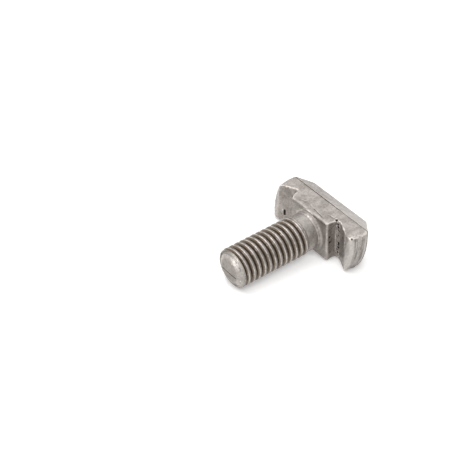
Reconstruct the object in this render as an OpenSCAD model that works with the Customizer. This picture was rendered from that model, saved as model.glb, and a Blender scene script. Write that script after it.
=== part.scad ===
// Hammer-head bolt for a T-slot: threaded shank, guide block, hooked flange and hipped underside.
// X runs along the shank to the thread's end, Y along the head, and Z is up as the bolt lies on its side.
// The origin is on the shank's axis, in the block's front face.

/* [Thread] */
// Major diameter of the thread
thread_d = 8; // [7.8:0.1:8.8]
// Pitch of the thread
pitch = 1.25; // [1:0.05:1.5]
// Width of the thread's flat crests
crest_w = 0.4; // [0.3:0.05:0.5]
// Width of the grooves' flat roots
root_w = 0.1; // [0.05:0.05:0.15]
// Turn of the thread about the shank, in degrees
thread_turn = 30; // [0:5:355]
// Turns over which the groove runs out at the neck
runout_turns = 1; // [0.5:0.1:1.5]

/* [Shank] */
// Length from the block's front face to the thread's end
shank_l = 19.2; // [14:0.1:40]
// Diameter of the plain neck
neck_d = 7.5; // [7:0.1:7.6]
// Length of the plain neck
neck_l = 3; // [2:0.25:6]
// Fillet between the neck and the block
neck_fillet = 0.6; // [0.2:0.1:0.6]
// Diameter of the flat end face
end_face_d = 5.2; // [4:0.1:6]
// Length of the rounded end
end_round_l = 1; // [0.4:0.1:1.2]

/* [Head] */
// Length of the head where its end walls stand out most
head_l = 23.6; // [21:0.2:27]
// Width of the head at the block's front face
head_w = 8.9; // [8.8:0.1:10]
// Distance from the block's front face to the flange's rear rim
flange_h = 4.4; // [4:0.1:6]
// Distance from the rear rim to where the end walls stand out most
belly_h = 1.4; // [0.5:0.1:1.8]
// How far the end walls come in from there to the rear rim
rim_in = 0.15; // [0.05:0.05:0.4]
// How far the end walls come in from there to the lips
lip_in = 0.15; // [0.05:0.05:0.6]
// Draft of the head's flat sides and the block's ends, in degrees
side_draft = 3.4; // [0:0.2:5]
// Radius of the end walls
end_r = 17; // [14:0.5:30]
// Height above the axis at which the end wall at +Y stands out most
end_peak = 3.3; // [2:0.1:3.6]
// Radius of the head's corners at the rear rim
rim_corner_r = 0.3; // [0.2:0.1:0.6]
// Radius of the head's corners at the lips
lip_corner_r = 1.2; // [0.6:0.1:1.4]

/* [Block] */
// Length of the guide block along the head, at its front face
block_l = 10.4; // [9:0.1:11]
// Radius of the block's front edges
block_edge_r = 0.35; // [0.1:0.05:0.35]

/* [Hooks] */
// Depth of the grooves' floors below the block's front face
groove_depth = 2.35; // [1.8:0.05:3]
// Width of each groove's floor
groove_floor = 1.1; // [0.5:0.1:1.5]
// Fillet in the grooves' corners
groove_fillet = 0.25; // [0.1:0.05:0.4]
// Setback of the lips' tips from the block's front face
lip_setback = 0.35; // [0.35:0.05:1]
// Slope of the ramps from the grooves' floors up to the lips, in degrees
ramp_angle = 27; // [22:1:32]
// Radius along the lips' tips
lip_r = 0.6; // [0.2:0.1:1]

/* [Underside] */
// Width of the seam behind the rear rim
seam_w = 0.15; // [0.1:0.05:0.3]
// Depth of the seam behind the rear rim
seam_depth = 0.15; // [0.05:0.05:0.3]
// Distance from the rear rim to the flat underside face
hip_h = 3.35; // [2:0.05:5]
// Length of the flat underside face
base_l = 15.3; // [12:0.1:18]
// Width of the flat underside face
base_w = 5.5; // [3:0.1:7]

/* [Hidden] */
thread_r = thread_d / 2;
neck_r = neck_d / 2;
// Metric flanks stand at 30 degrees to the radius; crests and roots set how deep they reach
flank = tan(30);
groove_half = (pitch - crest_w) / 2;
thread_depth = (groove_half - root_w / 2) / flank;
// The cutter's steps in a turn, and how far it stands out of the thread's crests
turn_steps = 36;
cut_out = 0.1;
// Length of the cone from the neck up to the thread's crests
neck_cone_l = 0.4;
// The hull slices are this thick
skin = 0.01;
// How far pieces that are joined run into each other
joint = 0.5;

// Turns a profile of [radius, x] points about the shank's axis
module about_shank() {
    rotate([0, 90, 0])
        rotate_extrude($fn = 96)
            children();
}

// Extrudes a [y, z] outline along X from x to x + length
module along_shank(x, length) {
    translate([x, 0, 0])
        rotate([90, 0, 90])
            linear_extrude(length)
                children();
}

// One section of the thread's cutter, at step i
function groove_section(i) =
    let(turned = i * 360 / turn_steps,
        x = neck_l + pitch * i / turn_steps,
        lift = (thread_depth + cut_out) * max(0, 1 - i / (runout_turns * turn_steps)),
        inner_r = thread_r - thread_depth + lift,
        outer_r = thread_r + cut_out + lift,
        inner_half = root_w / 2,
        outer_half = groove_half + cut_out * flank)
    [for (p = [[inner_half, inner_r], [outer_half, outer_r], [-outer_half, outer_r], [-inner_half, inner_r]])
        [x + p[0], p[1] * cos(turned + thread_turn), p[1] * sin(turned + thread_turn)]];

// Right-hand helical groove that leaves the thread standing
module thread_groove() {
    steps = ceil((shank_l + pitch - neck_l) / pitch * turn_steps);
    points = [for (i = [0:steps]) each groove_section(i)];
    walls = [for (i = [0:steps - 1], k = [0:3])
        let(a = 4 * i + k, b = 4 * i + (k + 1) % 4)
        each [[a, a + 4, b + 4], [a, b + 4, b]]];
    caps = [[0, 1, 2, 3], [for (k = [3:-1:0]) 4 * steps + k]];
    polyhedron(points, concat(walls, caps), convexity = 10);
}

// Neck, thread blank and rounded end
module shank_blank() {
    round_x = shank_l - end_round_l;
    face_r = end_face_d / 2;
    about_shank()
        polygon([
            [0, -joint],
            [neck_r, -joint],
            [neck_r, neck_l],
            [thread_r, neck_l + neck_cone_l],
            for (t = [0:15:90]) [face_r + (thread_r - face_r) * cos(t), round_x + end_round_l * sin(t)],
            [0, shank_l]
        ]);
}

// Ring that blends the neck into the block
module neck_blend() {
    about_shank()
        difference() {
            translate([neck_r - joint, -joint])
                square([joint + neck_fillet, joint + neck_fillet]);
            translate([neck_r + neck_fillet, neck_fillet])
                circle(neck_fillet, $fn = 48);
        }
}

module shank() {
    difference() {
        shank_blank();
        thread_groove();
    }
    neck_blend();
}

// Half length of the head at its rear rim and at its lips
rim_reach = head_l / 2 - rim_in;
lip_reach = head_l / 2 - lip_in;

// Width of the head at x, between its drafted flat sides
function width_at(x) = head_w - 2 * x * tan(side_draft);

// Outline of the head seen along the shank. Each end wall is an arc that falls away toward one flat side, at +Y
// toward the lower one and at -Y toward the upper one, so that the head turns one way in its slot.
module head_outline(width, reach, corner_r) {
    offset(r = corner_r, $fn = 32)
        offset(delta = -corner_r)
            intersection_for (turned = [0, 180])
                rotate(turned)
                    intersection() {
                        square([4 * reach, width], center = true);
                        translate([reach - end_r, end_peak])
                            circle(end_r, $fn = 180);
                    }
}

// A thin slice of the head whose front face is at x
module head_slice(x, reach, corner_r, side_cut = 0) {
    along_shank(x - skin, skin)
        head_outline(width_at(x) - 2 * side_cut, reach, corner_r);
}

// The head in front of its rear rim, before the grooves: bulging end walls, rounded tips and front edges
module head_envelope() {
    hull() {
        head_slice(skin - flange_h, rim_reach, rim_corner_r);
        head_slice(belly_h - flange_h, head_l / 2, rim_corner_r);
        for (t = [0:30:90])
            head_slice(-lip_setback - lip_r * (1 - sin(t)), lip_reach - lip_r * (1 - cos(t)), lip_corner_r);
        for (t = [0:45:90])
            head_slice(-block_edge_r * (1 - sin(t)), lip_reach - 2 * lip_r, lip_corner_r,
                block_edge_r * (1 - cos(t)));
    }
}

// Half of the space in front of the flange: beside the block, down to the groove's floor and up the ramp
module groove_outline() {
    wall_y = block_l / 2;
    base_y = wall_y + groove_depth * tan(side_draft);
    floor_y = base_y + groove_floor;
    outer_y = head_l / 2;
    ramp_x = (outer_y - floor_y) * tan(ramp_angle) - groove_depth;
    offset(r = groove_fillet, $fn = 24)
        offset(delta = -groove_fillet)
            polygon([
                [head_w, wall_y],
                [0, wall_y],
                [-groove_depth, base_y],
                [-groove_depth, floor_y],
                [ramp_x, outer_y],
                [head_w, outer_y]
            ]);
}

// Rounds the block's front shoulder over to the groove
module shoulder_cut() {
    translate([-block_edge_r, block_l / 2 - block_edge_r])
        difference() {
            square(2 * block_edge_r);
            circle(block_edge_r, $fn = 32);
        }
}

// Flange with its hooks, and the guide block between them
module hooked_flange() {
    difference() {
        head_envelope();
        for (side = [0, 1])
            mirror([0, side, 0])
                linear_extrude(2 * head_w, center = true) {
                    groove_outline();
                    shoulder_cut();
                }
    }
}

// Narrow seam round the head behind the rear rim
module seam() {
    along_shank(-flange_h - seam_w - skin, seam_w + 2 * skin)
        offset(delta = -seam_depth)
            head_outline(width_at(-flange_h), rim_reach, rim_corner_r);
}

// Underside with four slopes and a narrow flat
module hip() {
    hull() {
        head_slice(-flange_h - seam_w, rim_reach, rim_corner_r);
        along_shank(-flange_h - hip_h, skin)
            square([base_l, base_w], center = true);
    }
}

module bolt() {
    color([0.60, 0.57, 0.54]) {
        shank();
        hooked_flange();
        seam();
        hip();
    }
}

bolt();
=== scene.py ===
from math import radians

import bpy
import numpy as np
from mathutils import Matrix, Vector


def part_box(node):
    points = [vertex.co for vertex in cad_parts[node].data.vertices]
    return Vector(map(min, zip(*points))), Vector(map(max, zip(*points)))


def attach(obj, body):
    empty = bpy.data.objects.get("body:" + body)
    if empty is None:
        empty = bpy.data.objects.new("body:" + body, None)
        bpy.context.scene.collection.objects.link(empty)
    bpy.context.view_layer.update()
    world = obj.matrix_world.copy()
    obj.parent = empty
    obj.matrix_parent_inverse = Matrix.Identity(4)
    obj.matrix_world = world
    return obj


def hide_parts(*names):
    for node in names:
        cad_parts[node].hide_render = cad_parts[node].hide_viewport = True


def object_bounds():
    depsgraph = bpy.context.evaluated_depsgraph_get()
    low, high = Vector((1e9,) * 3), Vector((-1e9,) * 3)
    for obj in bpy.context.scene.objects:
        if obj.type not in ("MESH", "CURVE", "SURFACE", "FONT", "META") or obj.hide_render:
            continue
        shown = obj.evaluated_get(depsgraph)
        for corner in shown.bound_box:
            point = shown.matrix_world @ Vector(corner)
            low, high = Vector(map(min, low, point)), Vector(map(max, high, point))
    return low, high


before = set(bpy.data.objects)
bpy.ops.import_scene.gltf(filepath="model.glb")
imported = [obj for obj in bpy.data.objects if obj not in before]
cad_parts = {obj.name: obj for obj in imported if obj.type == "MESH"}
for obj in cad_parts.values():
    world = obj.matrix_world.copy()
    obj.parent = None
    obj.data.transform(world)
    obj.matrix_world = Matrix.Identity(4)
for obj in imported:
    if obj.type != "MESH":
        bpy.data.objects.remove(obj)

CAD_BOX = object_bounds()
MM = 0.001

# The photograph's camera, in millimetres and degrees, about the point that it looks at
AIM = Vector((8.71, -14.65, -4.2))
CAMERA_DISTANCE = 312.7
CAMERA_ELEVATION = 38.6
CAMERA_ROLL = 0.42
CAMERA_LENS = 127.6
SENSOR_WIDTH = 36
CLIP_NEAR = 10
CLIP_FAR = 10000

# How the bolt lies: its turn about the vertical as the camera sees it, and its slope to the floor
BOLT_TURN = 217.69
BOLT_TILT = 1.65

# The floor touches the head's lower edge and the last thread
HEAD_FOOT_X = -4.4
SHANK_FOOT_X = 18.2
FLOOR_SIZE = 3000

# The shank, as the frame has it. The groove's middle passes the neck's end at the thread's turn.
NECK_END = 3.0
THREAD_BEGIN = 3.4
ROUND_BEGIN = 18.2
SHANK_END = 19.2
END_FACE_R = 2.6
THREAD_R = 4.0
THREAD_DEPTH = 0.65
THREAD_TURN = 30
PITCH = 1.25

# The head, as the frame has it: its block, seam, end walls and the half width of its lips
BLOCK_END = 5.2
RIM_X = -4.4
SEAM_X = RIM_X - 0.075
LIP_REACH = 11.65
LIP_HALF_WIDTH = 4.5
END_R = 17
END_PEAK = 3.3

# The chamfer of the shank's end: where it begins, how it falls, how softly it begins, and how far the
# last groove is filled up to it
CHAMFER_R = 2.15
CHAMFER_SLOPE = 0.5
CHAMFER_BLEND = 0.2
FILL_BEGIN = 17.95
FILL_FULL = 18.4
FILL_END = 18.75

# The lean of the block's ends: at -Y, and at +Y at the top and below
LEAN_LEFT = 0.55
LEAN_RIGHT_TOP = 0.45
LEAN_RIGHT_LOW = 0.25

# The lips' rounded tips: where along the shank and how far in from the end walls they stand highest, how
# they fall to both sides and how far they reach to the ramps, with the same for their low corners
TIP_X = -0.62
TIP_IN = 0.75
TIP_FALL_TO_RAMP = 0.147
TIP_FALL_TO_WALL = 0.7
TIP_REACH = 1.6
FOOT_R = 0.7
FOOT_REACH = 2.4

# Where the lips' smooth tips end on the end walls, how far behind the block's face the streaks fade out, and
# the two rings at the neck's fillet
LIP_LAND_X = -1.3
STREAKS_FADE = (3.5, 3.85)
RING_X = 0.5
RING_R = 4.3

# Where looks change: from the thread to its chamfered end, at the end walls, and round the neck's fillet
END_BAND = (18.0, 18.5)
END_WALL_Y = 9
NECK_AREA_R = 4.4

# Relief: the heights of what is worn, rough or streaked
CREST_WEAR = 0.08
CREST_SEAM = 0.05
FLANK_SWELL = 0.12
THREAD_GRAIN = 0.012
HEAD_LUMPS = 0.05
END_STREAKS = 0.05
SEAM_DEPTH = 0.12
RING_HEIGHT = 0.045
RING_DEPTH = 0.04
CHIP_DEPTH = 0.06

# Unevenness all over: the size of its grains, its height and its seed
UNEVENNESS = [(2.5, 0.006, 1), (0.5, 0.006, 2), (0.2, 0.005, 3)]

# Pits and nicks: where they are, and how wide and deep
PITS = [
    ((-2.35, 5.75, 2.97), 0.42, 0.20),
    ((-2.35, 5.65, 3.60), 0.32, 0.12),
    ((-2.35, 5.95, 2.28), 0.38, 0.16),
    ((-2.35, 5.92, 1.07), 0.24, 0.08),
    ((-2.35, 5.55, 0.60), 0.20, 0.06),
    ((-2.35, 5.91, -0.79), 0.40, 0.18),
    ((-2.35, 5.90, -1.30), 0.30, 0.10),
    ((-2.35, 5.90, -1.91), 0.40, 0.18),
    ((-2.35, 5.60, -2.50), 0.26, 0.10),
    ((-2.35, 5.81, -3.10), 0.34, 0.14),
    ((-2.35, 6.40, -3.20), 0.26, 0.08),
    ((-0.71, 5.24, 0.99), 0.30, 0.08),
    ((-0.87, 5.25, -0.32), 0.32, 0.10),
    ((-2.21, 5.40, 4.58), 0.36, 0.20),
    ((-0.98, 11.2, 4.30), 0.24, 0.08),
    ((-1.61, 7.89, 2.13), 0.28, 0.10),
]

# Scratches and slots: their two ends, and how wide and deep
SCRATCHES = [
    ((-1.53, -2.60, 4.52), (-1.09, 0.14, 4.50), 0.12, 0.035),
    ((-1.09, 0.14, 4.50), (-0.74, 2.91, 4.49), 0.14, 0.055),
    ((-1.97, 3.20, 4.55), (-2.25, 5.20, 4.58), 0.13, 0.05),
    ((-1.00, -3.60, 4.50), (-1.25, -2.50, 4.50), 0.13, 0.05),
    ((19.16, -2.07, -0.54), (19.18, 0, -0.68), 0.16, 0.09),
    ((19.18, 0, -0.68), (19.16, 2.03, -0.68), 0.16, 0.09),
    ((-1.18, -8.74, -1.57), (-1.18, -8.74, -2.57), 0.28, 0.20),
]
DARK_SCRATCH = 0.1

# The steel's colours: its two plain tones, specks, pale places with painted sheen, stains with painted shade,
# dirt with painted shade, the thread's roots with painted shade, painted shade in crevices, rubbed edges with
# painted highlights and pits
PLAIN_DARK = (0.345, 0.315, 0.29)
PLAIN_LIGHT = (0.485, 0.445, 0.42)
SPECKS = (0.20, 0.18, 0.165)
PALE_AND_SHEEN = (0.56, 0.53, 0.50)
STAIN_AND_SHADE = (0.12, 0.105, 0.09)
DIRT_AND_SHADE = (0.12, 0.10, 0.085)
ROOT_BROWN_AND_SHADE = (0.175, 0.135, 0.098)
CREVICE_SHADE = (0.075, 0.058, 0.042)
RUBBED_AND_HIGHLIGHT = (0.72, 0.665, 0.62)
PIT = (0.02, 0.016, 0.013)

# The steel's grain, in noise cells a metre, how far its dirt and painted shade reach out of corners, and its
# bump
FINE_GRAIN = 3000
COARSE_GRAIN = 700
DIRT_AND_SHADE_REACH = 0.7
BUMP_HEIGHT = 0.03
METALLIC = 0.9

# The world's light, the floor's colour, what is added to the floor where it is seen, and how much of that is
# left in the painted contact shadow where the object touches it, within a short reach
WORLD_LIGHT = 0.55
FLOOR_COLOUR = (0.86, 0.86, 0.86)
FLOOR_LIFT = 0.52
CONTACT_SHADOW_LIFT = 0.25
CONTACT_SHADOW_REACH = 1.5

# The lamps with their places, sizes and watts
SOFTBOXES = [
    ("top_light", (30, -75, 355), 290, 0.57),
    ("end_light", (350, -85, 40), 70, 0.28),
    ("ridge_light", (-166, 93, 294), 80, 0.03),
]

# The dense mesh: the size of its cells, the triangles that are left of it, and how far inside the frame's
# box it stays
CELL = 0.06
SMOOTH_PASSES = 2
TRIANGLES = 190000
BOX_MARGIN = 0.005

# How many steps of neighbours an edge's narrow and wide wear reach over
NARROW_WEAR = 4
WIDE_WEAR = 16

# The side of the noise's table of random numbers, and a shift that keeps places in it positive
NOISE_SIDE = 32
NOISE_SHIFT = 1000


def floor_to_part():
    """Turns directions of the level floor, seen from the camera, into the part's own frame."""
    return Matrix.Rotation(radians(-BOLT_TILT), 3, "Y") @ Matrix.Rotation(radians(-BOLT_TURN), 3, "Z")


def build_camera():
    """Camera at the photograph's angle and framing."""
    right = Vector((1, 0, 0))
    forward = Matrix.Rotation(radians(-CAMERA_ELEVATION), 3, "X") @ Vector((0, 1, 0))
    up = right.cross(forward)
    roll = Matrix.Rotation(radians(-CAMERA_ROLL), 3, forward)
    to_part = floor_to_part()
    axes = [to_part @ (roll @ axis) for axis in (right, up, -forward)]
    data = bpy.data.cameras.new("camera")
    data.sensor_width = SENSOR_WIDTH
    data.lens = CAMERA_LENS
    data.clip_start = CLIP_NEAR * MM
    data.clip_end = CLIP_FAR * MM
    camera = bpy.data.objects.new("camera", data)
    matrix = Matrix(axes).transposed().to_4x4()
    matrix.translation = (AIM + axes[2] * CAMERA_DISTANCE) * MM
    camera.matrix_world = matrix
    bpy.context.scene.collection.objects.link(camera)
    bpy.context.scene.camera = camera


def build_floor():
    """A plain pale floor, sloped as the bolt lies on it."""
    head_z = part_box("bolt")[0][2] / MM
    slope = (-THREAD_R - head_z) / (SHANK_FOOT_X - HEAD_FOOT_X)
    half = FLOOR_SIZE / 2
    corners = [(-half, -half), (half, -half), (half, half), (-half, half)]
    points = [Vector((x, y, head_z + slope * (x - HEAD_FOOT_X))) * MM for x, y in corners]
    mesh = bpy.data.meshes.new("floor")
    mesh.from_pydata(points, [], [(0, 1, 2, 3)])
    floor = bpy.data.objects.new("floor", mesh)
    bpy.context.scene.collection.objects.link(floor)
    floor.data.materials.append(floor_material())


class Nodes:
    """Adds and links shader nodes with few words."""

    def __init__(self, name):
        self.material = bpy.data.materials.new(name)
        self.material.use_nodes = True
        self.tree = self.material.node_tree
        self.tree.nodes.clear()
        self.output = self.add("ShaderNodeOutputMaterial")

    def add(self, kind, settings=None, **inputs):
        """A node with its settings, and its inputs by name, with _ for a space."""
        node = self.tree.nodes.new(kind)
        for name, value in (settings or {}).items():
            setattr(node, name, value)
        for name, value in inputs.items():
            self.feed(node, name.replace("_", " "), value)
        return node

    def feed(self, node, name, value):
        """Gives an input, by name or number, a link, a colour or a number."""
        socket = node.inputs[int(name)] if name.isdigit() else node.inputs[name]
        if isinstance(value, bpy.types.NodeSocket):
            self.tree.links.new(value, socket)
        elif isinstance(value, tuple) and socket.type == "RGBA":
            socket.default_value = (*value, 1)
        else:
            socket.default_value = value

    def maths(self, operation, first, second):
        node = self.add("ShaderNodeMath", {"operation": operation})
        self.feed(node, "0", first)
        self.feed(node, "1", second)
        return node.outputs[0]

    def ramp(self, value, low, high, start=0.0, end=1.0):
        """value from low to high, as start to end."""
        node = self.add("ShaderNodeMapRange", {"interpolation_type": "SMOOTHSTEP"})
        for name, number in (("From Min", low), ("From Max", high), ("To Min", start), ("To Max", end)):
            node.inputs[name].default_value = number
        self.feed(node, "Value", value)
        return node.outputs["Result"]

    def mix(self, factor, first, second):
        node = self.add("ShaderNodeMix", {"data_type": "RGBA"})
        self.feed(node, "0", factor)
        for index, value in ((6, first), (7, second)):
            self.feed(node, str(index), value)
        return node.outputs[2]

    def noise(self, vector, scale, detail=4.0, roughness=0.6):
        node = self.add("ShaderNodeTexNoise", Vector=vector, Scale=scale, Detail=detail, Roughness=roughness)
        return node.outputs["Fac"]

    def openness(self, reach, only_local):
        """How open the surface is to its surroundings within reach, in millimetres."""
        settings = {"only_local": only_local, "samples": 8}
        node = self.add("ShaderNodeAmbientOcclusion", settings, Distance=reach * MM)
        return node.outputs["AO"]


def floor_material():
    """White floor that keeps the object's shadow, with a painted contact shadow where the object is near it.
    """
    nodes = Nodes("floor_white")
    diffuse = nodes.add("ShaderNodeBsdfDiffuse", Color=FLOOR_COLOUR)
    # Painted contact shadow: what is added to the floor fades where the object is near.
    painted_contact_shadow = nodes.ramp(nodes.openness(CONTACT_SHADOW_REACH, False), 0.25, 0.9, CONTACT_SHADOW_LIFT, FLOOR_LIFT)
    lift = nodes.maths("MULTIPLY", seen_or_mirrored(nodes.tree), painted_contact_shadow)
    glow = nodes.add("ShaderNodeEmission", Strength=lift)
    both = nodes.add("ShaderNodeAddShader")
    nodes.feed(both, "0", diffuse.outputs[0])
    nodes.feed(both, "1", glow.outputs[0])
    nodes.feed(nodes.output, "Surface", both.outputs[0])
    return nodes.material


def lattice_noise(points, cell, seed):
    """Smooth noise from -1 to 1 at each point. A cell is its grains' size, all ways or along x, y and z."""
    table = np.random.default_rng(seed).uniform(-1, 1, (NOISE_SIDE, NOISE_SIDE, NOISE_SIDE))
    places = points / np.asarray(cell) + NOISE_SHIFT
    base = np.floor(places).astype(int)
    part = places - base
    part = part * part * (3 - 2 * part)
    total = np.zeros(len(points))
    for corner in np.ndindex(2, 2, 2):
        weight = np.prod(np.where(corner, part, 1 - part), axis=1)
        index = (base + corner) % NOISE_SIDE
        total += weight * table[index[:, 0], index[:, 1], index[:, 2]]
    return total


def smooth_step(value, low, high):
    """0 up to low and 1 from high, with a smooth rise between them."""
    share = np.clip((value - low) / (high - low), 0, 1)
    return share * share * (3 - 2 * share)


def hump(value, middle, width):
    """1 at the middle, falling off smoothly to both sides."""
    return np.exp(-((value - middle) / width) ** 2)


class Surface:
    """The dense mesh's points, in millimetres, with what is worked out on them."""

    def __init__(self, mesh):
        self.mesh = mesh
        count = len(mesh.vertices)
        self.points = np.empty(count * 3)
        mesh.vertices.foreach_get("co", self.points)
        self.points = self.points.reshape(-1, 3)
        edges = np.empty(len(mesh.edges) * 2, dtype=int)
        mesh.edges.foreach_get("vertices", edges)
        self.ends = edges.reshape(-1, 2)
        self.degree = np.bincount(edges, minlength=count)[:, None]

    def around(self, values):
        """Mean of each point's neighbours."""
        first, second = self.ends[:, 0], self.ends[:, 1]
        total = np.stack([
            np.bincount(first, column[second], len(values)) + np.bincount(second, column[first], len(values))
            for column in values.T
        ], axis=1)
        return total / self.degree

    def store(self):
        self.mesh.vertices.foreach_set("co", self.points.ravel())
        self.mesh.update()

    def normals(self):
        self.store()
        normals = np.empty(len(self.points) * 3)
        self.mesh.vertices.foreach_get("normal", normals)
        return normals.reshape(-1, 3)

    def smooth(self, passes):
        """Moves each point halfway to the mean of its neighbours, some times over."""
        for _ in range(passes):
            self.points += 0.5 * (self.around(self.points) - self.points)

    def bend(self, passes):
        """How hollow the surface is: positive in crevices and negative on edges, over some passes' reach."""
        normals = self.normals()
        hollow = np.einsum("ij,ij->i", self.around(self.points) - self.points, normals)[:, None] / CELL
        for _ in range(passes):
            hollow = self.around(hollow)
        return hollow[:, 0]

    def keep_inside(self, box, margin):
        """Pulls points that stand out of the box, or within the margin of its sides, back in."""
        low, high = (np.array(corner) / MM for corner in box)
        self.points = np.clip(self.points, low + margin, high - margin)


def dense_mesh():
    """The bolt's own mesh in fine even cells, in millimetres."""
    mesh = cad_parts["bolt"].data.copy()
    mesh.transform(Matrix.Scale(1 / MM, 4))
    piece = bpy.data.objects.new("bolt_surface", mesh)
    bpy.context.scene.collection.objects.link(piece)
    remesh = piece.modifiers.new("remesh", "REMESH")
    remesh.mode = "VOXEL"
    remesh.voxel_size = CELL
    swap_mesh(piece)
    return piece


def swap_mesh(piece):
    """Applies the piece's modifiers."""
    bpy.context.view_layer.update()
    graph = bpy.context.evaluated_depsgraph_get()
    mesh = bpy.data.meshes.new_from_object(piece.evaluated_get(graph))
    piece.modifiers.clear()
    piece.data = mesh


def dent_share(points, place, radius):
    """1 at the place, falling to 0 at the radius."""
    gap = np.linalg.norm(points - np.array(place), axis=1) / radius
    return np.clip(1 - gap * gap, 0, 1) ** 2


def scratch_share(points, start, end, width):
    """1 on the line from start to end, falling to 0 at the width."""
    start, end = np.array(start), np.array(end)
    along = end - start
    share = np.clip((points - start) @ along / (along @ along), 0, 1)
    gap = np.linalg.norm(points - start - share[:, None] * along, axis=1) / width
    return np.clip(1 - gap * gap, 0, 1)


def chamfer_end(points):
    """Chamfers the shank's end, which leaves a small flat, and fills the last groove up to the chamfer."""
    radius = np.hypot(points[:, 1], points[:, 2])
    beyond = radius - CHAMFER_R
    drop = CHAMFER_SLOPE / 2 * (beyond + np.hypot(beyond, CHAMFER_BLEND))
    on_shank = radius < THREAD_R + 1
    points[:, 0] = np.minimum(points[:, 0], np.where(on_shank, SHANK_END - drop, SHANK_END))
    left = np.clip(SHANK_END - points[:, 0], 0.1, None)
    cone_r = CHAMFER_R + left / CHAMFER_SLOPE - CHAMFER_SLOPE * CHAMFER_BLEND ** 2 / 4 / left
    cone_r = np.minimum(cone_r, THREAD_R - 0.05)
    in_groove = (points[:, 0] < FILL_END) * (radius < THREAD_R)
    fill = in_groove * smooth_step(points[:, 0], FILL_BEGIN, FILL_FULL) * np.clip(cone_r - radius, 0, None)
    points[:, 1:] *= (1 + fill / np.maximum(radius, 1))[:, None]


def lean_block_ends(points):
    """Leans the block's ends at their feet: outward at -Y, and at +Y outward at the top and inward below."""
    x, y, z = points.T
    near_wall = smooth_step(np.abs(y), 4.6, 5.4) * (1 - smooth_step(np.abs(y), 5.5, 6.6))
    left = -LEAN_LEFT * smooth_step(-x, 0, 1.6) * smooth_step(z, -1, 3.5)
    right = smooth_step(-x, 0.3, 2) * (LEAN_RIGHT_TOP * smooth_step(z, 2.2, 4.4) - LEAN_RIGHT_LOW)
    points[:, 1] += near_wall * np.where(y < 0, left, right)


def round_lips(points):
    """Rounds the lips' tips over, from the ramps' upper ends to the end walls."""
    x, y, z = points.T
    wall_y = LIP_REACH - END_R + np.sqrt(END_R ** 2 - (z * np.sign(y) - END_PEAK) ** 2)
    past_tip = np.abs(y) - wall_y + TIP_IN
    fall = np.where(past_tip < 0, TIP_FALL_TO_RAMP, TIP_FALL_TO_WALL)
    tip = TIP_X - fall * past_tip ** 2
    points[:, 0] = np.where((past_tip > -TIP_REACH) & (x < 0), np.minimum(x, tip), x)
    round_feet(points, past_tip > -FOOT_REACH)


def round_feet(points, on_lip):
    """Rounds the corner where each lip's tip meets the flat side that the bolt lies on."""
    centre = np.array([TIP_X - FOOT_R, FOOT_R - LIP_HALF_WIDTH])
    off = points[:, [0, 2]] - centre
    gap = np.hypot(off[:, 0], off[:, 1])
    outside = on_lip * (off[:, 0] > 0) * (off[:, 1] < 0) * (gap > FOOT_R)
    pulled = centre + off * (FOOT_R / np.maximum(gap, FOOT_R))[:, None]
    points[:, [0, 2]] = np.where(outside[:, None], pulled, points[:, [0, 2]])


def thread_depth(points):
    """How far each point lies below the thread's crests."""
    x, y, z = points.T
    rounding = np.clip((x - ROUND_BEGIN) / (SHANK_END - ROUND_BEGIN), 0, 1)
    crest_r = END_FACE_R + (THREAD_R - END_FACE_R) * np.sqrt(1 - rounding ** 2)
    on_thread = smooth_step(x, NECK_END, THREAD_BEGIN) * (x < SHANK_END - 0.1)
    return on_thread * (crest_r - np.hypot(y, z))


def off_crest(points):
    """How far along the shank each point is from the middle of a crest."""
    x, y, z = points.T
    turn = np.degrees(np.arctan2(z, y)) - THREAD_TURN
    return PITCH * (((x - NECK_END) / PITCH - turn / 360) % 1 - 0.5)


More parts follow.
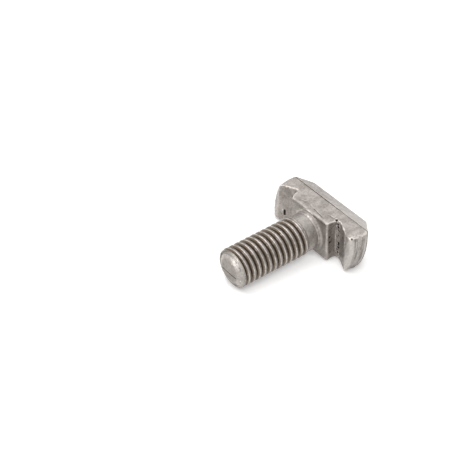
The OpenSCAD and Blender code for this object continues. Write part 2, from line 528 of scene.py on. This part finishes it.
class Thread:
    """The thread's surface: its crests, grooves and upper side, its grains and its lines along the turns."""

    def __init__(self, points, depth):
        x, y, z = points.T
        self.points = points
        self.depth = depth
        self.gap = off_crest(points)
        self.turn = np.degrees(np.arctan2(z, y))
        self.on_thread = (x > THREAD_BEGIN) * (x < ROUND_BEGIN + 0.5)
        self.on_crest = self.on_thread * smooth_step(-depth, -0.3, -0.1)
        # The upper side, which the thread's stains, roots and hollows darken with painted shade
        upper = smooth_step(self.turn, 75, 110) * (1 - smooth_step(self.turn, 125, 150))
        self.on_top = self.on_thread * upper
        self.cleaner = self.on_thread * (self.gap < -0.1) * 0.3
        self.grains = lattice_noise(points, 0.3, 11)
        unrolled = np.stack([self.gap, np.radians(self.turn) * THREAD_R, depth], axis=1)
        self.lines = self.on_thread * lattice_noise(unrolled, (0.1, 2.5, 0.12), 13)

    def lift(self):
        """Rounds the crests' shoulders, swells the flank away from the end, and leaves a broken seam."""
        shoulder = smooth_step(np.abs(self.gap + 0.03), 0.06, 0.26)
        seam = hump(self.gap, -0.06, 0.07) * smooth_step(self.grains, -0.1, 0.4)
        flank = smooth_step(self.depth, 0.02, 0.12) * smooth_step(-self.depth, -THREAD_DEPTH, -0.4)
        swell = self.on_thread * (self.gap < -0.15) * flank
        rough = (lattice_noise(self.points, (0.15, 0.25, 0.25), 12) + self.lines) * (self.depth > 0.05)
        crests = -self.on_crest * (CREST_WEAR * shoulder + CREST_SEAM * seam)
        return crests + FLANK_SWELL * swell + THREAD_GRAIN * rough

    def stain(self):
        """A little grime all along, painted shade on the upper side, dull crests, and dark lines along the
        turns.
        """
        grime_and_upper_shade = self.on_thread * (0.08 + 0.5 * self.on_top)
        dull = self.on_crest * smooth_step(-self.gap, -0.2, -0.05) * (0.4 + 0.35 * self.grains)
        return np.maximum(dull, grime_and_upper_shade) + 0.35 * smooth_step(self.lines, 0.1, 0.7)

    def polish(self):
        """How much of its wear an edge shows, with a painted highlight: only the crests' edge toward the end,
        brightest on the lit side.
        """
        painted_ridge_highlight = 1 + 0.8 * hump(self.turn, 60, 15)
        return 1 - self.on_thread * (1 - 1.2 * painted_ridge_highlight * smooth_step(self.gap, 0.02, 0.12))

    def root(self):
        """How brown the thread is, from its crests down to its roots: brown grime with painted shade, most on
        the upper side.
        """
        brown = self.depth / THREAD_DEPTH * (1 + 1.5 * self.on_top) * (1 - self.cleaner)
        return np.clip(0.05 * (self.on_top + self.cleaner > 0) + brown, 0, 1)

    def hollow(self):
        """Painted shade that the grooves of the upper side add to their own hollow."""
        return 0.05 * self.on_top * smooth_step(self.depth, 0.1, 0.4)


class Head:
    """The head's and neck's forged and sheared surfaces, and the noise that roughens and streaks them."""

    def __init__(self, points, normals):
        self.points = points
        self.normals = normals
        x, y, z = points.T
        out_y = np.abs(y)
        facing_y = np.abs(normals[:, 1])
        facing_end = normals[:, 0] > 0.4
        self.in_groove = smooth_step(out_y, BLOCK_END - 0.1, BLOCK_END + 0.1) * (x < -0.3) * facing_end
        self.on_wall = (out_y > 5) * (out_y < 5.8) * (facing_y > 0.6) * (x < -0.4)
        self.on_end = (out_y > END_WALL_Y) * smooth_step(facing_y, 0.6, 0.9)
        self.on_neck = np.hypot(y, z) < NECK_AREA_R
        self.near_rim = smooth_step(-x, *STREAKS_FADE)
        self.lumps = lattice_noise(points, 0.35, 21) + 0.5 * lattice_noise(points, 0.18, 22)
        self.streaks = lattice_noise(points, (0.4, 3, 5), 23)
        self.streaks += 0.8 * lattice_noise(points, (0.16, 2, 1.6), 24)
        self.lines = smooth_step(self.streaks, 0, 0.8)
        behind_lip = smooth_step(-x, -LIP_LAND_X - 0.2, -LIP_LAND_X + 0.2)
        self.sheared = self.on_end * (0.25 + 0.75 * behind_lip) * (1 - 0.6 * self.near_rim)

    def lift(self):
        """Lumps in the grooves, streaks on the end walls, a deeper seam, and rings at the neck's fillet."""
        x = self.points[:, 0]
        rough = np.clip(self.in_groove + self.on_wall, 0, 1)
        rings = RING_HEIGHT * hump(x, RING_X, 0.11) - RING_DEPTH * hump(x, RING_X + 0.3, 0.09)
        lift = HEAD_LUMPS * self.lumps * rough + END_STREAKS * self.streaks * self.sheared
        return lift - SEAM_DEPTH * hump(x, SEAM_X, 0.09) + self.on_neck * rings

    def stain(self):
        """Dark lines on the end walls, oxide with painted shade on the groove's wall, painted shade on the
        ramps and under the block's top front edge, and dull places on the block, the neck and the end face.
        """
        x, y, z = self.points.T
        facing_end = self.normals[:, 0] > 0.8
        # The groove's wall: darker oxide, with painted shade
        wall = self.on_wall * (1 + self.lumps) * (1 - 0.8 * smooth_step(-x, 1.1, 1.9))
        end_face = smooth_step(x, SHANK_END - 0.25, SHANK_END - 0.05)
        # Painted shadow under the block's top front edge
        shadow_under_top_edge = (x > -0.3) * (x < 0.1) * smooth_step(z, 3.6, 4.0) * facing_end
        block_face = (np.abs(x) < 0.2) * (np.hypot(y, z) > 4.2) * smooth_step(-y, 0, 2) * facing_end
        block_top = (z > 4.2) * (x > -2.2) * (np.abs(y) < 5)
        # Painted shade on the ramps in the grooves
        left_ramp_shade = (y < -5.9) * (self.normals[:, 1] > 0.2) * (x < -0.2)
        right_band = smooth_step(y, 7, 8) * (1 - smooth_step(y, 9, 9.6))
        right_ramp_shade = right_band * (self.normals[:, 1] < -0.2) * (z < 4.2)
        neck = self.on_neck * (x > 0.9) * (x < NECK_END)
        stain = 0.5 * wall + 0.2 * self.on_end * (x < LIP_LAND_X) + 0.9 * self.sheared * self.lines
        stain += 0.6 * end_face + 0.9 * shadow_under_top_edge + 0.45 * left_ramp_shade + 0.4 * right_ramp_shade
        stain += 0.6 * block_face + 0.12 * neck + 0.12 * block_top
        return np.clip(stain, 0, 1)

    def pale(self):
        """Lighter places: painted sheen on the lip's land, the hip, the end walls near the rim and the end's
        chamfer ring, painted light on the neck's top, and the paler groove floor and wall band.
        """
        x, y, z = self.points.T
        smooth_tip = smooth_step(x, LIP_LAND_X - 0.1, LIP_LAND_X + 0.1)
        # The lip's land: smooth and paler, with painted sheen
        lip = (y > END_WALL_Y) * smooth_tip * (self.normals[:, 2] < 0.8)
        floor = self.in_groove * smooth_step(y, 5.25, 5.4) * (1 - smooth_step(y, 6.4, 7.4))
        floor *= smooth_step(self.lumps, -0.7, 0.2)
        # Painted sheen: the hip's paler grazing reflection
        hip_sheen = (x < RIM_X - 0.1) * (z > 0) * smooth_step(y, -4, 9)
        # Painted light: the neck's top lighter, as if lit from above
        neck_top_light = self.on_neck * smooth_step(x, 0.2, 0.9) * (x < NECK_END) * smooth_step(z, 1, 3)
        wall = self.on_wall * (y > 0) * smooth_step(-x, 1.3, 1.7) * (1 - smooth_step(-x, 1.8, 2.05))
        rim = self.on_end * self.near_rim * (x > RIM_X)
        pale = np.maximum(0.2 * self.on_end * (1 - self.lines), lip)
        pale += floor + hip_sheen + 0.2 * neck_top_light + 0.4 * wall + 0.7 * rim
        # Painted sheen on the ring round the shank end's chamfer
        end_rim_sheen = smooth_step(x, *END_BAND) * smooth_step(np.hypot(y, z), 3, 3.5)
        return np.maximum(np.clip(pale, 0, 1), 0.7 * end_rim_sheen)

    def rims(self):
        """What is brighter than its bend makes it: bright lines at the rim and the lip, a painted highlight
        on the neck's fillet rings, and the mottled floor.
        """
        x, y, z = self.points.T
        radius = np.hypot(y, z)
        lip = smooth_step(z, 4.1, 4.3) * (y > 6.3) * (self.normals[:, 2] < 0.85) * (x > RIM_X + 0.2)
        fillet = (x > -0.2) * (x < 1) * (radius < 4.6)
        # Painted highlight on the neck fillet's rings
        rings = hump(radius, RING_R, 0.1) + (radius < 4.1) * hump(x, RING_X, 0.12)
        floor = (x < -2.1) * (y > 5.3) * (y < 6.9) * (self.normals[:, 0] > 0.5)
        mottled = floor * smooth_step(lattice_noise(self.points, 0.3, 34), -0.4, 0.5)
        return 0.03 * hump(x, RIM_X - 0.3, 0.09) + 0.06 * lip + 0.045 * fillet * rings + 0.05 * mottled

    def unbroken(self):
        """1 where an edge's wear is whole; the block's upright edges have it only in places."""
        x, y, z = self.points.T
        upright = (np.abs(np.abs(y) - BLOCK_END) < 0.5) * (x > -0.6) * (z < 4.1)
        gaps = 1 - smooth_step(lattice_noise(self.points, (0.3, 0.3, 0.45), 33), -0.3, 0.6)
        return 1 - upright * gaps


def dent(points, lift):
    """Takes pits and scratches out of the lift, and says how dark each point is of them and of the seam."""
    mark = hump(points[:, 0], SEAM_X, 0.08) * (0.42 + 0.2 * hump(points[:, 1], 0, 3))
    for place, radius, deep in PITS:
        share = dent_share(points, place, radius)
        lift -= deep * share
        mark = np.maximum(mark, np.sqrt(share))
    for start, end, width, deep in SCRATCHES:
        share = scratch_share(points, start, end, width)
        lift -= deep * share
        mark = np.maximum(mark, share * min(1, deep / DARK_SCRATCH))
    return mark


def chip_edges(surface, points, wear, depth):
    """Takes small chips off the sharp edges, half as deep at -Y, and none in the thread's grooves."""
    chips = smooth_step(-wear, 0.03, 0.07) * smooth_step(lattice_noise(points, 0.5, 31), 0.1, 0.8)
    deep = np.where(points[:, 1] < 0, CHIP_DEPTH / 2, CHIP_DEPTH) * (depth < 0.05)
    surface.points -= surface.normals() * (deep * chips)[:, None]


def build_bolt():
    """The bolt's worn and marked surface, which stands for the frame's own."""
    piece = dense_mesh()
    surface = Surface(piece.data)
    surface.smooth(SMOOTH_PASSES)
    depth = thread_depth(surface.points)
    lean_block_ends(surface.points)
    round_lips(surface.points)
    chamfer_end(surface.points)
    normals = surface.normals()
    points = surface.points
    head = Head(points, normals)
    thread = Thread(points, depth)
    lift = head.lift() + thread.lift()
    for cell, height, seed in UNEVENNESS:
        lift += height * lattice_noise(points, cell, seed)
    mark = dent(points, lift)
    surface.points = points + normals * lift[:, None]
    wear = surface.bend(NARROW_WEAR)
    wide_wear = surface.bend(WIDE_WEAR)
    chip_edges(surface, points, wear, depth)
    surface.keep_inside(CAD_BOX, BOX_MARGIN)
    surface.store()
    pale = head.pale()
    before_end = 1 - smooth_step(points[:, 0], *END_BAND)
    # Edge wear, with a painted highlight on the crests' edges toward the end
    wear_and_highlight = thread.polish() * (0.75 + 0.5 * lattice_noise(points, 0.4, 32))
    unbroken = head.unbroken()
    # These shares carry painted light with the real marks: shade in the hollows, roots and stains, highlights
    # on edges and shoulders, sheen on pale places
    store_shares(piece, {
        "hollow": (np.clip(wear, 0, 1) + thread.hollow()) * before_end * (1 - 0.9 * pale),
        "edge_wear_and_highlight": (np.clip(-wear, 0, 1) * unbroken + head.rims()) * wear_and_highlight,
        "shoulder": np.clip(-wide_wear, 0, 1) * wear_and_highlight * (0.4 + 0.6 * unbroken),
        "root": thread.root() * before_end,
        "mark": mark,
        "stain": head.stain() + thread.stain(),
        "pale": pale,
    })
    finish_mesh(piece)
    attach(piece, "root")
    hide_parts("bolt")


def store_shares(piece, shares):
    """Keeps each share on the mesh's points, where the material reads it."""
    for name, values in shares.items():
        attribute = piece.data.attributes.new(name, "FLOAT", "POINT")
        attribute.data.foreach_set("value", values)


def finish_mesh(piece):
    """Brings the mesh of four-sided cells down to its triangles and to metres, and gives it its steel."""
    decimate = piece.modifiers.new("decimate", "DECIMATE")
    decimate.ratio = TRIANGLES / (2 * len(piece.data.polygons))
    swap_mesh(piece)
    mesh = piece.data
    mesh.transform(Matrix.Scale(MM, 4))
    for polygon in mesh.polygons:
        polygon.use_smooth = True
    mesh.materials.clear()
    mesh.materials.append(steel_material())


def steel_material():
    """Matt steel: bright where its edges are worn and where highlights are painted, brown and dull in its
    crevices, with painted shade there.
    """
    nodes = Nodes("steel")
    place = nodes.add("ShaderNodeTexCoord").outputs["Object"]
    share = {
        name: nodes.add("ShaderNodeAttribute", {"attribute_name": name}).outputs["Fac"]
        for name in ("edge_wear_and_highlight", "shoulder", "hollow", "root", "mark", "stain", "pale")
    }
    fine = nodes.noise(place, FINE_GRAIN)
    coarse = nodes.noise(place, COARSE_GRAIN)
    # Dirt with painted shade: darker where the steel is closed in by its own surface
    dirt_and_shade = nodes.ramp(nodes.openness(DIRT_AND_SHADE_REACH, True), 0.65, 0.2, 0, 0.6)
    bare = nodes.maths("SUBTRACT", 1.0, share["pale"])
    colour = nodes.mix(nodes.ramp(coarse, 0.35, 0.65), PLAIN_DARK, PLAIN_LIGHT)
    layers = [
        (nodes.ramp(fine, 0.45, 0.7, 0, 0.6), SPECKS),
        # Pale places, with painted sheen
        (nodes.maths("MULTIPLY", share["pale"], 0.6), PALE_AND_SHEEN),
        # Stains, with painted shade
        (nodes.maths("MULTIPLY", share["stain"], 0.7), STAIN_AND_SHADE),
        # Dirt, with painted shade in recesses
        (nodes.maths("MULTIPLY", dirt_and_shade, bare), DIRT_AND_SHADE),
        # Brown roots, with painted shade
        (nodes.ramp(share["root"], 0.02, 0.35, 0, 0.9), ROOT_BROWN_AND_SHADE),
        # Painted shade in creases, from the surface's hollow
        (nodes.ramp(share["hollow"], 0.03, 0.06, 0, 0.7), CREVICE_SHADE),
        # Rubbed shoulders and edges, with painted highlights
        (nodes.ramp(share["shoulder"], 0.008, 0.03, 0, 0.45), RUBBED_AND_HIGHLIGHT),
        (nodes.ramp(share["edge_wear_and_highlight"], 0.025, 0.06, 0, 0.9), RUBBED_AND_HIGHLIGHT),
        (nodes.ramp(share["mark"], 0.2, 0.7), PIT),
    ]
    for factor, layer in layers:
        colour = nodes.mix(factor, colour, layer)
    rough = nodes.ramp(fine, 0.3, 0.7, 0.38, 0.52)
    bump = nodes.add("ShaderNodeBump", Strength=0.45, Distance=BUMP_HEIGHT * MM, Height=fine)
    shader = nodes.add("ShaderNodeBsdfPrincipled", Roughness=rough, Metallic=METALLIC, Normal=bump.outputs[0])
    nodes.feed(shader, "Base Color", colour)
    nodes.feed(nodes.output, "Surface", shader.outputs[0])
    return nodes.material


def seen_or_mirrored(tree):
    """1 for rays from the camera, and for those that metal and glass mirror or let through."""
    path = tree.nodes.new("ShaderNodeLightPath")
    value = path.outputs["Is Camera Ray"]
    for name in ("Is Glossy Ray", "Is Transmission Ray"):
        node = tree.nodes.new("ShaderNodeMath")
        node.operation = "MAXIMUM"
        tree.links.new(value, node.inputs[0])
        tree.links.new(path.outputs[name], node.inputs[1])
        value = node.outputs[0]
    return value


def build_world():
    """Even light, with white seen behind the bolt and mirrored in it."""
    world = bpy.data.worlds.new("studio")
    bpy.context.scene.world = world
    world.use_nodes = True
    tree = world.node_tree
    background = tree.nodes["Background"]
    background.inputs["Color"].default_value = (1, 1, 1, 1)
    strength = tree.nodes.new("ShaderNodeMapRange")
    strength.inputs["To Min"].default_value = WORLD_LIGHT
    strength.inputs["To Max"].default_value = 1
    tree.links.new(seen_or_mirrored(tree), strength.inputs["Value"])
    tree.links.new(strength.outputs[0], background.inputs["Strength"])


def build_lights():
    build_world()
    for name, place, size, power in SOFTBOXES:
        add_softbox(name, place, size, power)


def add_softbox(name, place, size, power):
    """A square lamp at a place in the part's frame that faces the bolt."""
    data = bpy.data.lights.new(name, "AREA")
    data.size = size * MM
    data.energy = power
    lamp = bpy.data.objects.new(name, data)
    lamp.location = Vector(place) * MM
    lamp.rotation_euler = (-lamp.location).to_track_quat("-Z", "Y").to_euler()
    bpy.context.scene.collection.objects.link(lamp)


bpy.context.scene.view_settings.view_transform = "Standard"
build_camera()
build_floor()
build_lights()
build_bolt()
